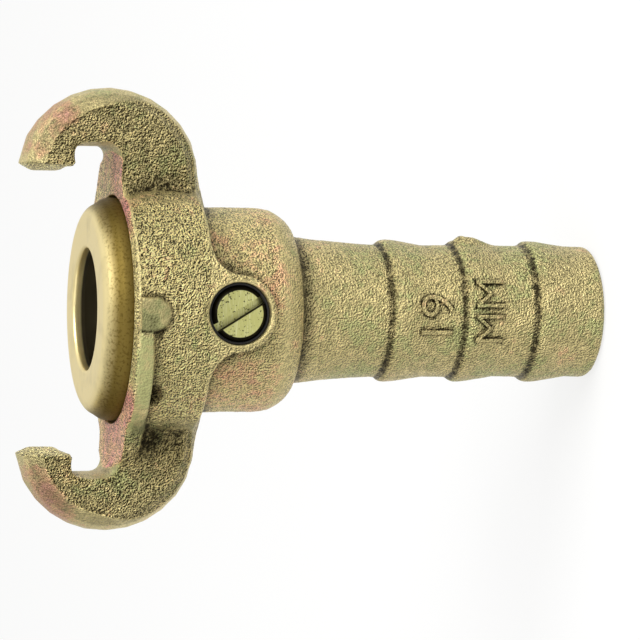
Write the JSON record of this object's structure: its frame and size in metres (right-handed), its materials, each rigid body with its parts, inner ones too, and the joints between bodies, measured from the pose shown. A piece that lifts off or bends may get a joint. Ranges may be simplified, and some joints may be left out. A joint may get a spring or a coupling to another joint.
{
  "type": "claw hose coupling",
  "caption": "Claw quick coupling for a compressed-air hose, with a barbed hose tail, a brass nose ring and a shut-off ball valve turned by a slotted stem.",
  "frame": {"origin": "centre of the underside of the bounding box: on the coupling's axis, at the end of the hose tail", "axes": "+Z along the coupling's axis from the hose tail to the claws, X through both claws, -Y out of the valve stem"},
  "size_m": [0.0672, 0.041, 0.0902],
  "materials": {
    "casting": "sand-cast malleable iron, yellow zinc chromate",
    "nose_brass": "turned, satin",
    "stem_steel": "turned, yellow zinc chromate",
    "ball_plating": "polished",
    "seal_rubber": "black, matt",
    "seat_plastic": "white, smooth"
  },
  "bodies": {
    "coupling": {"coupling_body": "casting", "nose_ring": "nose_brass", "nose_seal": "seal_rubber", "front_seat": "seat_plastic", "rear_seat": "seat_plastic", "stem_washer": "seat_plastic"},
    "valve": {"valve_stem": "stem_steel", "stem_o_ring": "seal_rubber", "valve_ball": "ball_plating"}
  },
  "joints": [
    {"name": "stem_turn", "type": "hinge", "parent": "coupling", "child": "valve", "pos_m": [0, 0, 0.0601], "axis": [0, -1, 0], "range_deg": [-31.7, 58.3]}
  ]
}
